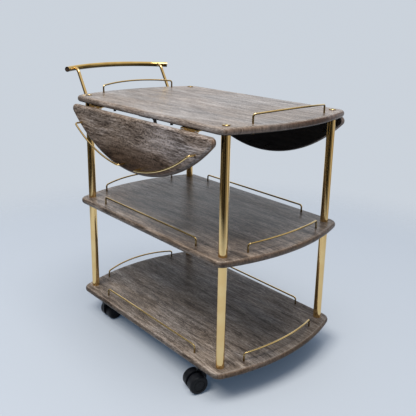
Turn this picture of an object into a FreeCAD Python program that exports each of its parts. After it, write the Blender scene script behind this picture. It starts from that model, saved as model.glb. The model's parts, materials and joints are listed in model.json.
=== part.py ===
import FreeCAD, Part
import math
import os

import Sketcher
from FreeCAD import Placement, Rotation, Vector

# Tea trolley with three boards, two drop leaves, wire rails, a push handle and twin-wheel casters.
# The floor is z = 0, +X points away from the handle, and the front leaf hangs on the -Y side.

doc = FreeCAD.newDocument("tea_trolley")
sheet = doc.addObject("Spreadsheet::Sheet", "sizes")

# Driving dimensions, in millimetres and degrees
driving_dimensions = {
    # Boards
    "board_end_margin": 65,
    "board_side_margin": 32,
    "board_thickness": 18,
    "end_arc_radius": 590,
    "corner_radius": 28,
    "rim_radius": 8,
    "rim_flat": 2,
    "middle_height": 387,
    "top_height": 700,
    # Posts and the rods inside them
    "post_span_length": 590,
    "post_span_width": 386,
    "post_diameter": 22,
    "post_wall": 1.5,
    "post_plug_length": 10,
    "tie_rod_diameter": 6,
    "cap_diameter": 19,
    "cap_thickness": 2.5,
    "cap_bevel": 0.9,
    "cap_sleeve_diameter": 10,
    "cap_sleeve_length": 13,
    "cap_socket_diameter": 7,
    "cap_socket_depth": 1.7,
    "foot_nut_diameter": 12,
    "foot_nut_thickness": 5,
    "foot_washer_diameter": 19,
    "foot_washer_thickness": 1.5,
    # Rails
    "rail_wire": 5,
    "rail_height": 24,
    "rail_bend_radius": 7,
    "rail_nut_diameter": 9.5,
    "rail_nut_thickness": 4,
    "rail_tail": 1.5,
    "end_rail_span": 260,
    "end_rail_setback": 44,
    "end_rail_bow": 22,
    "end_rail_rise": 6.4,
    "side_rail_gap": 26,
    "side_rail_setback": 24,
    # Leaves
    "leaf_arc_radius": 430,
    "leaf_depth": 145,
    "leaf_corner_radius": 13,
    "leaf_thickness": 18,
    "leaf_edge_gap": 0.7,
    "leaf_rail_inset": 18,
    "leaf_rail_radius": 432,
    "leaf_rail_inner": 36,
    "leaf_rail_outer": 250,
    # Handle
    "handle_span": 382,
    "handle_reach": 63,
    "handle_height": 64,
    "handle_bow": 50,
    "handle_rise": 4.5,
    "handle_tube": 16,
    "handle_wall": 1.2,
    "handle_plug_recess": 1.5,
    "handle_plug_length": 8,
    "handle_arm_rod": 10,
    "handle_arm_seat": 84,
    "handle_arm_overhang": 4,
    "handle_arm_bend": 22,
    "handle_arm_run": 22,
    "handle_screw_diameter": 4,
    "handle_screw_head": 8,
    "handle_screw_head_thickness": 2.4,
    "handle_screw_inset": 9,
    "handle_screw_spacing": 26,
    # Hinges and wood screws
    "hinge_length": 63,
    "hinge_spacing": 412,
    "hinge_plate_width": 25,
    "hinge_plate_thickness": 1.5,
    "hinge_pin_diameter": 1.8,
    "hinge_pin_setback": 1,
    "hinge_screw_spacing": 21,
    "hinge_screw_setback": 16,
    "knuckle_radius": 1.7,
    "screw_diameter": 3,
    "screw_head_diameter": 5.6,
    "screw_length": 12,
    # Folding stays and bumpers
    "stay_reach": 50,
    "stay_pivot_depth": 11,
    "stay_bar_width": 9,
    "stay_bar_thickness": 2.5,
    "stay_pin_diameter": 4,
    "stay_head_diameter": 7,
    "stay_head_thickness": 1.2,
    "stay_base_width": 46,
    "stay_base_length": 62,
    "stay_base_thickness": 5,
    "stay_screw_spacing": 44,
    "bumper_diameter": 7,
    "bumper_height": 5,
    "bumper_spacing": 250,
    "bumper_setback": 12,
    # Casters
    "caster_end_inset": 63,
    "caster_side_outset": 3,
    "caster_trail": 20,
    "wheel_diameter": 50,
    "wheel_width": 23.5,
    "wheel_gap": 8,
    "wheel_outer_round": 6,
    "wheel_inner_round": 2,
    "wheel_dish_radius": 15,
    "wheel_dish_depth": 1.5,
    "axle_diameter": 6,
    "caster_web_diameter": 38,
    "caster_neck_length": 18,
    "caster_neck_foot": 20,
    "caster_neck_round": 8,
    "caster_boss_diameter": 22,
    "caster_boss_height": 18.5,
    "caster_stem_diameter": 8,
    "caster_stem_seat": 12,
    "caster_stem_reach": 12,
    "caster_flange_diameter": 32,
    "caster_flange_thickness": 2.5,
    "front_left_heading": 180,
    "front_right_heading": -15,
    "rear_left_heading": 160,
    "rear_right_heading": 25,
    # Clearances
    "hole_clearance": 0.1,
    "drill_overrun": 1,
    "running_clearance": 0.05,
    "moving_clearance": 0.4,
    "open_pivot_clearance": 0.35,
    "wheel_side_clearance": 0.6,
}

# Sizes tied to the driving ones, kept in the same sheet as formulas
clear_between = "end_rail_span + rail_nut_diameter + post_span_width - post_diameter"
caster_stack = "wheel_diameter + wheel_side_clearance + caster_boss_height + moving_clearance"
tied_dimensions = {
    "board_length": "=post_span_length + 2 * board_end_margin",
    "board_width": "=post_span_width + 2 * board_side_margin",
    "bottom_height": f"={caster_stack} + caster_flange_thickness + board_thickness",
    "caster_span_length": "=post_span_length - 2 * caster_end_inset",
    "caster_span_width": "=post_span_width + 2 * caster_side_outset",
    "side_rail_span": "=caster_span_length - 2 * side_rail_gap",
    "handle_arm_spread": f"=({clear_between}) / 2",
}
for row, (alias, value) in enumerate({**driving_dimensions, **tied_dimensions}.items(), start=1):
    sheet.set(f"A{row}", alias)
    sheet.set(f"B{row}", str(value))
    sheet.setAlias(f"B{row}", alias)
doc.recompute()

# Knuckles of one hinge, counted from its middle, on the fixed plate and the leaf's plate in turn
KNUCKLES = (-2, -1, 0, 1, 2)

# Places worked out from the driving dimensions, kept as bound properties of one object
worked_out = {
    "board_rim": "min(sizes.rim_radius; (sizes.board_thickness - sizes.rim_flat) / 2)",
    "leaf_rim": "min(sizes.rim_radius; (sizes.leaf_thickness - sizes.rim_flat) / 2)",
    "top_underside": "sizes.top_height - sizes.board_thickness",
    "middle_underside": "sizes.middle_height - sizes.board_thickness",
    "bottom_underside": "sizes.bottom_height - sizes.board_thickness",
    "post_x": "sizes.post_span_length / 2",
    "post_y": "sizes.post_span_width / 2",
    "post_radius": "sizes.post_diameter / 2",
    "post_bore": "sizes.post_diameter / 2 - sizes.post_wall",
    "tie_rod_radius": "sizes.tie_rod_diameter / 2",
    "tie_rod_foot": "bottom_underside - sizes.foot_washer_thickness - sizes.foot_nut_thickness",
    "tie_rod_head": "sizes.top_height - sizes.cap_thickness",
    "rail_radius": "sizes.rail_wire / 2",
    "rail_axis_height": "sizes.rail_height - sizes.rail_wire / 2",
    "rail_leg_past_board": "sizes.rail_nut_thickness + sizes.rail_tail",
    "end_rail_x": "sizes.board_length / 2 - sizes.end_rail_setback",
    "end_rail_y": "sizes.end_rail_span / 2",
    "side_rail_x": "sizes.side_rail_span / 2",
    "side_rail_y": "sizes.board_width / 2 - sizes.side_rail_setback",
    "hinge_offset": "sizes.knuckle_radius + sizes.moving_clearance",
    "hinge_pin_y": "sizes.board_width / 2 - sizes.hinge_pin_setback",
    "hinge_pin_z": "top_underside - hinge_offset",
    "hinge_x": "sizes.hinge_spacing / 2",
    "knuckle_pitch": f"(sizes.hinge_length + sizes.moving_clearance) / {len(KNUCKLES)}",
    "knuckle_length": "knuckle_pitch - sizes.moving_clearance",
    "screw_head_height": "sizes.hinge_plate_thickness",
    "leaf_inner_y": "hinge_pin_y + hinge_offset",
    "leaf_outer_y": "leaf_inner_y + sizes.leaf_thickness",
    "leaf_top": "hinge_pin_z - sizes.hinge_pin_setback - sizes.leaf_edge_gap",
    "leaf_arc_centre": "leaf_top - sizes.leaf_depth + sizes.leaf_arc_radius",
    "leaf_rail_centre": "leaf_top - sizes.leaf_depth + sizes.leaf_rail_inset + sizes.leaf_rail_radius",
    "leaf_rail_inner_z": "leaf_rail_centre - sqrt(sizes.leaf_rail_radius ^ 2 - sizes.leaf_rail_inner ^ 2)",
    "leaf_rail_outer_z": "leaf_rail_centre - sqrt(sizes.leaf_rail_radius ^ 2 - sizes.leaf_rail_outer ^ 2)",
    "handle_x": "sizes.board_length / 2 + sizes.handle_reach",
    "handle_z": "sizes.top_height + sizes.handle_height",
    "handle_arm_y": "sizes.handle_arm_spread / 2",
    "handle_arm_z": "top_underside - sizes.handle_arm_rod / 2 - sizes.running_clearance",
    "handle_arm_end": "sizes.board_length / 2 - sizes.handle_arm_seat",
    "stay_drop": "sizes.stay_pivot_depth - hinge_offset",
    "stay_top_y": "hinge_pin_y - sizes.stay_reach",
    "stay_top_z": "top_underside - sizes.stay_pivot_depth",
    "stay_elbow_y": "stay_top_y - stay_drop",
    "stay_elbow_z": "stay_top_z - sizes.stay_reach",
    "stay_leaf_y": "leaf_inner_y - sizes.stay_pivot_depth",
    "stay_leaf_z": "hinge_pin_z - sizes.stay_reach",
    "stay_layer": "sizes.stay_bar_thickness + sizes.moving_clearance",
    "stay_pin_length": "stay_layer + sizes.stay_bar_thickness / 2 + sizes.moving_clearance",
    "stay_pin_radius": "sizes.stay_pin_diameter / 2",
    "stay_eye_radius": "sizes.stay_bar_width / 2",
    "bumper_y": "sizes.board_width / 2 - sizes.bumper_setback",
    "wheel_radius": "sizes.wheel_diameter / 2",
    "caster_x": "sizes.caster_span_length / 2",
    "caster_y": "sizes.caster_span_width / 2",
    "caster_flange_z": "bottom_underside - sizes.caster_flange_thickness",
    "caster_boss_top": "caster_flange_z - sizes.moving_clearance",
    "caster_boss_foot": "sizes.wheel_diameter + sizes.wheel_side_clearance",
    "caster_stem_foot": "caster_flange_z - sizes.caster_stem_reach",
    "caster_web_width": "sizes.wheel_gap - 2 * sizes.wheel_side_clearance",
}
places = doc.addObject("App::FeaturePython", "places")
for name, formula in worked_out.items():
    places.addProperty("App::PropertyFloat", name)
    places.setExpression(name, formula)
doc.recompute()

UP = Vector(0, 0, 1)
DOWN = Vector(0, 0, -1)
ALONG = Vector(1, 0, 0)
SIDES = {"front": -1, "rear": 1}
ENDS = {"left": -1, "right": 1}
CORNERS = [f"{side}_{end}" for side in SIDES for end in ENDS]
PAIRS = [(end, side) for side in SIDES.values() for end in ENDS.values()]
NEAR = 0.01
nodes = []


def keep(piece, label):
    piece.Label = label
    nodes.append(piece)


# Primitives bound to the sheet: a piece stands at a spot and points in a direction
def stand(kind, spot, direction, **formulas):
    piece = doc.addObject(f"Part::{kind}", kind.lower())
    for name, formula in formulas.items():
        piece.setExpression(name, formula)
    piece.Placement = Placement(Vector(), Rotation(UP, direction))
    for letter, formula in zip("xyz", spot):
        piece.setExpression(f"Placement.Base.{letter}", formula)
    return piece


def pillar(spot, direction, radius, length):
    return stand("Cylinder", spot, direction, Radius=radius, Height=length)


def block(centre, spans):
    corner = [f"({place}) - ({span}) / 2" for place, span in zip(centre, spans)]
    return stand("Box", corner, UP, Length=spans[0], Width=spans[1], Height=spans[2])


def group(pieces):
    bundle = doc.addObject("Part::Compound", "group")
    bundle.Links = pieces
    return bundle


def fuse(pieces):
    whole = doc.addObject("Part::MultiFuse", "fusion")
    whole.Shapes = pieces
    return whole


def cut(base, tools):
    result = doc.addObject("Part::Cut", "cut")
    result.Base = base
    result.Tool = group(tools)
    return result


# Sketched bodies
def sketch_on(body, role, lift=None):
    sketch = body.newObject("Sketcher::SketchObject", "outline")
    plane = next(feature for feature in body.Origin.OriginFeatures if feature.Role == role)
    sketch.AttachmentSupport = [(plane, "")]
    sketch.MapMode = "FlatFace"
    if lift:
        sketch.setExpression("AttachmentOffset.Base.z", lift)
    return sketch


def dimension(sketch, name, constraint, formula):
    index = sketch.addConstraint(constraint)
    sketch.renameConstraint(index, name)
    sketch.setExpression(f"Constraints.{name}", formula)


# A formula that starts with a minus sign is measured back to the origin, so that its value stays positive
def shift(sketch, name, letter, index, point, formula):
    if formula.startswith("-"):
        measure = Sketcher.Constraint(f"Distance{letter}", index, point, -1, 1, 1)
        dimension(sketch, name, measure, formula[1:])
    else:
        dimension(sketch, name, Sketcher.Constraint(f"Distance{letter}", -1, 1, index, point, 1), formula)


def draw_circle(sketch, name, radius, across="0", upward="0"):
    index = sketch.addGeometry(Part.Circle(Vector(), UP, 1))
    dimension(sketch, f"{name}_radius", Sketcher.Constraint("Radius", index, 1), radius)
    for letter, formula, axis in (("X", across, -2), ("Y", upward, -1)):
        if formula == "0":
            sketch.addConstraint(Sketcher.Constraint("PointOnObject", index, 3, axis))
        else:
            shift(sketch, f"{name}_{letter}", letter, index, 3, formula)


def draw_rectangle(sketch, left, right, low, high):
    corners = [Vector(0, 0, 0), Vector(1, 0, 0), Vector(1, 1, 0), Vector(0, 1, 0)]
    for start, end in zip(corners, corners[1:] + corners[:1]):
        sketch.addGeometry(Part.LineSegment(start, end))
    for index in range(4):
        sketch.addConstraint(Sketcher.Constraint("Coincident", index, 2, (index + 1) % 4, 1))
        sketch.addConstraint(Sketcher.Constraint("Vertical" if index % 2 else "Horizontal", index))
    edges = (("left", "X", 3, left), ("right", "X", 1, right), ("low", "Y", 0, low), ("high", "Y", 2, high))
    for name, letter, line, formula in edges:
        shift(sketch, name, letter, line, 1, formula)


# Bar with round ends, from the origin to a far centre
def draw_slot(sketch, radius, across, upward, far_centre):
    way = math.atan2(far_centre.y, far_centre.x)
    quarter = math.pi / 2
    near_circle = Part.Circle(Vector(), UP, 1)
    far_circle = Part.Circle(far_centre, UP, 1)
    side_step = Vector(-math.sin(way), math.cos(way), 0)
    sketch.addGeometry(Part.ArcOfCircle(near_circle, way + quarter, way + 3 * quarter))
    sketch.addGeometry(Part.ArcOfCircle(far_circle, way - quarter, way + quarter))
    sketch.addGeometry(Part.LineSegment(side_step.negative(), far_centre.sub(side_step)))
    sketch.addGeometry(Part.LineSegment(far_centre.add(side_step), side_step))
    for first, first_end, second, second_end in ((0, 2, 2, 1), (2, 2, 1, 1), (1, 2, 3, 1), (3, 2, 0, 1)):
        sketch.addConstraint(Sketcher.Constraint("Tangent", first, first_end, second, second_end))
    sketch.addConstraint(Sketcher.Constraint("Equal", 0, 1))
    sketch.addConstraint(Sketcher.Constraint("Coincident", 0, 3, -1, 1))
    dimension(sketch, "end_radius", Sketcher.Constraint("Radius", 0, 1), radius)
    shift(sketch, "across", "X", 1, 3, across)
    shift(sketch, "upward", "Y", 1, 3, upward)


def extrude(body, kind, sketch, length, both_ways=False, backwards=False):
    feature = body.newObject(f"PartDesign::{kind}", kind.lower())
    feature.Profile = sketch
    feature.setExpression("Length", length)
    feature.Midplane = both_ways
    feature.Reversed = backwards


def round_edges(body, radius, wanted):
    doc.recompute()
    base = body.Tip
    names = [f"Edge{number}" for number, edge in enumerate(base.Shape.Edges, start=1) if wanted(edge)]
    fillet = body.newObject("PartDesign::Fillet", "rounding")
    fillet.Base = (base, names)
    fillet.setExpression("Radius", radius)
    doc.recompute()


# A body drawn for the front side is turned half round for the rear side
HALF_TURN = {-1: "0", 1: "180"}


def set_down(body, spot, turn="0"):
    body.Placement = Placement(Vector(), Rotation(UP, 1))
    body.setExpression("Placement.Rotation.Angle", turn)
    for letter, formula in zip("xyz", spot):
        body.setExpression(f"Placement.Base.{letter}", formula)


# Board: straight long sides, bowed ends, rounded corners and a rounded rim
def board(label, underside):
    body = doc.addObject("PartDesign::Body", f"{label}_board")
    sketch = sketch_on(body, "XY_Plane")
    half_width = sheet.board_width / 2
    radius = sheet.end_arc_radius
    centre = sheet.board_length / 2 - radius
    corner = centre + math.sqrt(radius**2 - half_width**2)
    sweep_angle = math.asin(half_width / radius)
    far_arc = Part.Circle(Vector(centre, 0, 0), UP, radius)
    near_arc = Part.Circle(Vector(-centre, 0, 0), UP, radius)
    sketch.addGeometry(Part.LineSegment(Vector(-corner, -half_width, 0), Vector(corner, -half_width, 0)))
    sketch.addGeometry(Part.ArcOfCircle(far_arc, -sweep_angle, sweep_angle))
    sketch.addGeometry(Part.LineSegment(Vector(corner, half_width, 0), Vector(-corner, half_width, 0)))
    sketch.addGeometry(Part.ArcOfCircle(near_arc, math.pi - sweep_angle, math.pi + sweep_angle))
    for index in range(4):
        sketch.addConstraint(Sketcher.Constraint("Coincident", index, 2, (index + 1) % 4, 1))
    sketch.addConstraint(Sketcher.Constraint("Symmetric", 0, 1, 0, 2, -2))
    sketch.addConstraint(Sketcher.Constraint("Symmetric", 0, 1, 2, 2, -1))
    sketch.addConstraint(Sketcher.Constraint("Symmetric", 0, 2, 2, 1, -1))
    sketch.addConstraint(Sketcher.Constraint("Equal", 1, 3))
    dimension(sketch, "width", Sketcher.Constraint("DistanceY", 0, 1, 2, 2, 1), "sizes.board_width")
    dimension(sketch, "bow", Sketcher.Constraint("Radius", 1, radius), "sizes.end_arc_radius")
    crown = Sketcher.Constraint("DistanceX", 1, 3, -1, 1, -centre)
    dimension(sketch, "crown", crown, "sizes.end_arc_radius - sizes.board_length / 2")
    extrude(body, "Pad", sketch, "sizes.board_thickness")
    round_edges(body, "sizes.corner_radius", lambda edge: edge.BoundBox.ZLength > NEAR)
    round_edges(body, "places.board_rim", lambda edge: edge.BoundBox.ZLength < NEAR)
    set_down(body, ("0", "0", underside))
    return body


def through_board(x, y, underside, radius):
    foot = (x, y, f"{underside} - sizes.drill_overrun")
    length = "sizes.board_thickness + 2 * sizes.drill_overrun"
    return pillar(foot, UP, f"{radius} + sizes.hole_clearance", length)


# Four spots of a pattern, in the order of the corners
def four_spots(pattern):
    return [(f"{end} * places.{pattern}_x", f"{side} * places.{pattern}_y") for end, side in PAIRS]


def shelf_rail_feet():
    return four_spots("end_rail") + four_spots("side_rail")


# Spots of the screws under the top board
def hinge_screw_x(end):
    return [f"{end} * places.hinge_x + {step} * sizes.hinge_screw_spacing" for step in (-1, 0, 1)]


def hinge_screws_along():
    return [x for end in ENDS.values() for x in hinge_screw_x(end)]


def top_hinge_screw_y(side):
    return f"{side} * (places.hinge_pin_y - sizes.hinge_screw_setback)"


def stay_screw_spots(side):
    spread = "sizes.stay_screw_spacing / 2"
    return [("0", f"{side} * (places.stay_top_y + {step} * {spread})") for step in (-1, 1)]


def handle_screw_spots(side):
    first = "places.handle_arm_end + sizes.handle_screw_inset"
    y = f"{side} * places.handle_arm_y"
    return [(f"-({first})", y), (f"-({first} + sizes.handle_screw_spacing)", y)]


def pilot(spot, direction, radius, length):
    depth = f"{length} + sizes.moving_clearance"
    return pillar(spot, direction, f"{radius} + sizes.running_clearance", depth)


top_drills = []
middle_drills = []
bottom_drills = []
for x, y in four_spots("post"):
    top_drills.append(through_board(x, y, "places.top_underside", "sizes.cap_sleeve_diameter / 2"))
    middle_drills.append(through_board(x, y, "places.middle_underside", "places.tie_rod_radius"))
    bottom_drills.append(through_board(x, y, "places.bottom_underside", "places.tie_rod_radius"))
for x, y in four_spots("end_rail"):
    top_drills.append(through_board(x, y, "places.top_underside", "places.rail_radius"))
for x, y in shelf_rail_feet():
    middle_drills.append(through_board(x, y, "places.middle_underside", "places.rail_radius"))
    bottom_drills.append(through_board(x, y, "places.bottom_underside", "places.rail_radius"))
for x, y in four_spots("caster"):
    seat = (x, y, "places.bottom_underside")
    bottom_drills.append(pilot(seat, UP, "sizes.caster_stem_diameter / 2", "sizes.caster_stem_seat"))
for side in SIDES.values():
    bites = [(x, top_hinge_screw_y(side)) for x in hinge_screws_along()] + stay_screw_spots(side)
    for x, y in bites:
        spot = (x, y, "places.top_underside")
        top_drills.append(pilot(spot, UP, "sizes.screw_diameter / 2", "sizes.screw_length"))
    for x, y in handle_screw_spots(side):
        spot = (x, y, "places.top_underside")
        top_drills.append(pilot(spot, UP, "sizes.handle_screw_diameter / 2", "sizes.screw_length"))

keep(cut(board("top", "places.top_underside"), top_drills), "top_shelf")
keep(cut(board("middle", "places.middle_underside"), middle_drills), "middle_shelf")
keep(cut(board("bottom", "places.bottom_underside"), bottom_drills), "bottom_shelf")


# Posts: plain tubes between the boards
def post(label, x, y, foot, length):
    body = doc.addObject("PartDesign::Body", label)
    sketch = sketch_on(body, "XY_Plane")
    draw_circle(sketch, "outside", "places.post_radius")
    draw_circle(sketch, "bore", "places.post_bore")
    extrude(body, "Pad", sketch, length)
    set_down(body, (x, y, foot))
    keep(body, label)


for corner, (x, y) in zip(CORNERS, four_spots("post")):
    lower_length = "places.middle_underside - sizes.bottom_height"
    upper_length = "places.top_underside - sizes.middle_height"
    post(f"lower_post_{corner}", x, y, "sizes.bottom_height", lower_length)
    post(f"upper_post_{corner}", x, y, "sizes.middle_height", upper_length)


# Tie rods, plugs, caps and foot nuts that clamp the boards and posts together
def rod_bore(x, y, foot, length):
    return pillar((x, y, foot), UP, "places.tie_rod_radius + sizes.running_clearance", length)


def post_plug(x, y, foot):
    radius = "places.post_bore - sizes.running_clearance"
    body = pillar((x, y, foot), UP, radius, "sizes.post_plug_length")
    return cut(body, [rod_bore(x, y, foot, "sizes.post_plug_length")])


def screw_cap(x, y):
    radius = "sizes.cap_diameter / 2"
    shoulder = "(sizes.cap_thickness - sizes.cap_bevel)"
    head = pillar((x, y, "sizes.top_height"), UP, radius, shoulder)
    bevel = stand("Cone", (x, y, f"sizes.top_height + {shoulder}"), UP, Radius1=radius,
                  Radius2=f"{radius} - sizes.cap_bevel", Height="sizes.cap_bevel")
    sleeve_radius = "sizes.cap_sleeve_diameter / 2"
    sleeve = pillar((x, y, "sizes.top_height"), DOWN, sleeve_radius, "sizes.cap_sleeve_length")
    socket_foot = "sizes.top_height + sizes.cap_thickness - sizes.cap_socket_depth"
    socket = stand("Prism", (x, y, socket_foot), UP, Circumradius="sizes.cap_socket_diameter / 2",
                   Height="sizes.cap_thickness")
    bore_foot = "sizes.top_height - sizes.cap_sleeve_length"
    bore = rod_bore(x, y, bore_foot, f"places.tie_rod_head + sizes.moving_clearance - ({bore_foot})")
    return cut(fuse([head, bevel, sleeve]), [socket, bore])


def foot_nut(x, y):
    washer = pillar((x, y, "places.bottom_underside"), DOWN, "sizes.foot_washer_diameter / 2",
                    "sizes.foot_washer_thickness")
    nut = stand("Prism", (x, y, "places.tie_rod_foot"), UP, Circumradius="sizes.foot_nut_diameter / 2",
                Height="sizes.foot_nut_thickness")
    return cut(fuse([washer, nut]), [rod_bore(x, y, "places.tie_rod_foot", "sizes.board_thickness")])


rods = []
plugs = []
caps = []
foot_nuts = []
for x, y in four_spots("post"):
    rods.append(pillar((x, y, "places.tie_rod_foot"), UP, "places.tie_rod_radius",
                       "places.tie_rod_head - places.tie_rod_foot"))
    for foot in ("sizes.bottom_height", "sizes.middle_height"):
        plugs.append(post_plug(x, y, foot))
    for head in ("places.middle_underside", "places.top_underside"):
        plugs.append(post_plug(x, y, f"{head} - sizes.post_plug_length"))
    caps.append(screw_cap(x, y))
    foot_nuts.append(foot_nut(x, y))
keep(group(rods), "post_tie_rods")
keep(group(plugs), "post_plugs")
keep(group(caps), "post_screw_caps")
keep(group(foot_nuts), "post_foot_nuts")


# Bent wire: a round bar swept along straight runs and tangent arcs
def bend(corner, arriving, leaving, radius):
    half_turn = arriving.getAngle(leaving) / 2
    tangent_length = radius * math.tan(half_turn)
    towards_centre = leaving.sub(arriving).normalize()
    start = corner.sub(arriving * tangent_length)
    end = corner.add(leaving * tangent_length)
    middle = corner.add(towards_centre * (radius / math.cos(half_turn) - radius))
    return start, end, Part.Arc(start, middle, end).toShape()


def sweep(path, start, direction, radius):
    profile = Part.Wire([Part.Circle(start, direction, radius).toShape()])
    return Part.Wire(path).makePipeShell([profile], True, False)


# Rail with two legs and a bar that bows from leg to leg; with no bow the bar is straight
def rail_shape(first_foot, second_foot, outward, bow, leg_depth):
    chord = second_foot.sub(first_foot)
    across = Vector(chord).normalize()
    end_angle = 2 * math.atan(2 * bow.Length / chord.Length)
    bow_way = Vector(bow).normalize() if bow.Length else Vector()
    leaving = across * math.cos(end_angle) + bow_way * math.sin(end_angle)
    arriving = across * math.cos(end_angle) - bow_way * math.sin(end_angle)
    first_corner = first_foot.add(outward * places.rail_axis_height)
    second_corner = second_foot.add(outward * places.rail_axis_height)
    radius = sheet.rail_bend_radius
    leg_top, bar_start, first_bend = bend(first_corner, outward, leaving, radius)
    bar_end, other_leg_top, second_bend = bend(second_corner, arriving, outward.negative(), radius)
    first_tip = first_foot.sub(outward * leg_depth)
    second_tip = second_foot.sub(outward * leg_depth)
    if bow.Length:
        half_bar = bar_end.sub(bar_start) / 2
        crown = bar_start.add(half_bar).add(bow_way * (half_bar.Length * math.tan(end_angle / 2)))
        bar = Part.Arc(bar_start, crown, bar_end).toShape()
    else:
        bar = Part.LineSegment(bar_start, bar_end).toShape()
    first_leg = Part.LineSegment(first_tip, leg_top).toShape()
    second_leg = Part.LineSegment(other_leg_top, second_tip).toShape()
    path = [first_leg, first_bend, bar, second_bend, second_leg]
    return sweep(path, first_tip, outward, places.rail_radius)


def keep_shape(label, shape):
    piece = doc.addObject("Part::Feature", label)
    piece.Shape = shape
    piece.Placement = Placement()
    keep(piece, label)


def end_rail(label, end, height):
    x = end * places.end_rail_x
    bow = Vector(end * sheet.end_rail_bow, 0, sheet.end_rail_rise)
    feet = [Vector(x, side * places.end_rail_y, height) for side in (-1, 1)]
    depth = sheet.board_thickness + places.rail_leg_past_board
    keep_shape(label, rail_shape(feet[0], feet[1], UP, bow, depth))


def side_rail(label, side, height):
    y = side * places.side_rail_y
    feet = [Vector(end * places.side_rail_x, y, height) for end in (-1, 1)]
    depth = sheet.board_thickness + places.rail_leg_past_board
    keep_shape(label, rail_shape(feet[0], feet[1], UP, Vector(), depth))


tiers = {"top": sheet.top_height, "middle": sheet.middle_height, "bottom": sheet.bottom_height}
for tier, height in tiers.items():
    for end_name, end in ENDS.items():
        end_rail(f"{tier}_{end_name}_rail", end, height)
    if tier != "top":
        for side_name, side in SIDES.items():
            side_rail(f"{tier}_{side_name}_rail", side, height)


# Hexagon nuts on the rail legs, seated on the far face of the board
def rail_nut(spot, direction):
    nut = stand("Prism", spot, direction, Circumradius="sizes.rail_nut_diameter / 2",
                Height="sizes.rail_nut_thickness")
    bore_radius = "places.rail_radius + sizes.running_clearance"
    return cut(nut, [pillar(spot, direction, bore_radius, "sizes.rail_nut_thickness")])


shelf_nuts = []
for x, y in four_spots("end_rail"):
    shelf_nuts.append(rail_nut((x, y, "places.top_underside"), DOWN))
for underside in ("places.middle_underside", "places.bottom_underside"):
    for x, y in shelf_rail_feet():
        shelf_nuts.append(rail_nut((x, y, underside), DOWN))
keep(group(shelf_nuts), "shelf_rail_nuts")


# Countersunk wood screw whose head lies flush with the plate that it holds
def countersink(spot, direction, clearance):
    return stand("Cone", spot, direction, Radius1=f"sizes.screw_head_diameter / 2 + {clearance}",
                 Radius2=f"sizes.screw_diameter / 2 + {clearance}", Height="places.screw_head_height")


def wood_screw(spot, direction):
    shank = pillar(spot, direction, "sizes.screw_diameter / 2", "sizes.screw_length")
    return fuse([countersink(spot, direction, "0"), shank])


def screw_hole(spot, direction):
    drill = pilot(spot, direction, "sizes.screw_diameter / 2", "sizes.screw_length")
    return fuse([countersink(spot, direction, "sizes.running_clearance"), drill])


# Leaf: a D-shaped board that hangs from its straight edge
def leaf_board(side_name, side):
    body = doc.addObject("PartDesign::Body", f"{side_name}_leaf_board")
    sketch = sketch_on(body, "XZ_Plane")
    radius = sheet.leaf_arc_radius
    rise = radius - sheet.leaf_depth
    half_chord = math.sqrt(radius**2 - rise**2)
    edge_angle = math.atan2(rise, half_chord)
    circle = Part.Circle(Vector(0, rise, 0), UP, radius)
    sketch.addGeometry(Part.ArcOfCircle(circle, edge_angle - math.pi, -edge_angle))
    sketch.addGeometry(Part.LineSegment(Vector(half_chord, 0, 0), Vector(-half_chord, 0, 0)))
    sketch.addConstraint(Sketcher.Constraint("Coincident", 0, 2, 1, 1))
    sketch.addConstraint(Sketcher.Constraint("Coincident", 1, 2, 0, 1))
    sketch.addConstraint(Sketcher.Constraint("Symmetric", 1, 1, 1, 2, -2))
    sketch.addConstraint(Sketcher.Constraint("PointOnObject", 1, 1, -1))
    dimension(sketch, "bow", Sketcher.Constraint("Radius", 0, radius), "sizes.leaf_arc_radius")
    centre = Sketcher.Constraint("DistanceY", -1, 1, 0, 3, rise)
    dimension(sketch, "centre", centre, "sizes.leaf_arc_radius - sizes.leaf_depth")
    extrude(body, "Pad", sketch, "sizes.leaf_thickness")
    round_edges(body, "sizes.leaf_corner_radius", lambda edge: edge.BoundBox.YLength > NEAR)
    round_edges(body, "places.leaf_rim", lambda edge: edge.BoundBox.YLength < NEAR)
    set_down(body, ("0", f"{side} * places.leaf_inner_y", "places.leaf_top"), HALF_TURN[side])
    return body


def leaf_rail_feet():
    inner = ("sizes.leaf_rail_inner", "places.leaf_rail_inner_z")
    outer = ("sizes.leaf_rail_outer", "places.leaf_rail_outer_z")
    return [(f"{end} * {x}", z) for end in (-1, 1) for x, z in (inner, outer)]


def leaf_rails(side_name, side):
    outward = Vector(0, side, 0)
    face = side * places.leaf_outer_y
    depth = sheet.leaf_thickness + places.rail_leg_past_board
    shapes = []
    for end in (-1, 1):
        first = Vector(end * sheet.leaf_rail_inner, face, places.leaf_rail_inner_z)
        second = Vector(end * sheet.leaf_rail_outer, face, places.leaf_rail_outer_z)
        middle = first.add(second) / 2
        centre = Vector(0, face, places.leaf_rail_centre)
        edge_way = middle.sub(centre).normalize()
        bow = edge_way * (sheet.leaf_rail_radius - middle.sub(centre).dot(edge_way))
        shapes.append(rail_shape(first, second, outward, bow, depth))
    keep_shape(f"{side_name}_leaf_rails", Part.makeCompound(shapes))


def leaf_hinge_screw_spots():
    return [(x, "places.hinge_pin_z - sizes.hinge_screw_setback") for x in hinge_screws_along()]


def stay_leaf_screw_spots():
    return [("0", f"places.stay_leaf_z + {step} * sizes.stay_screw_spacing / 2") for step in (-1, 1)]


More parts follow.
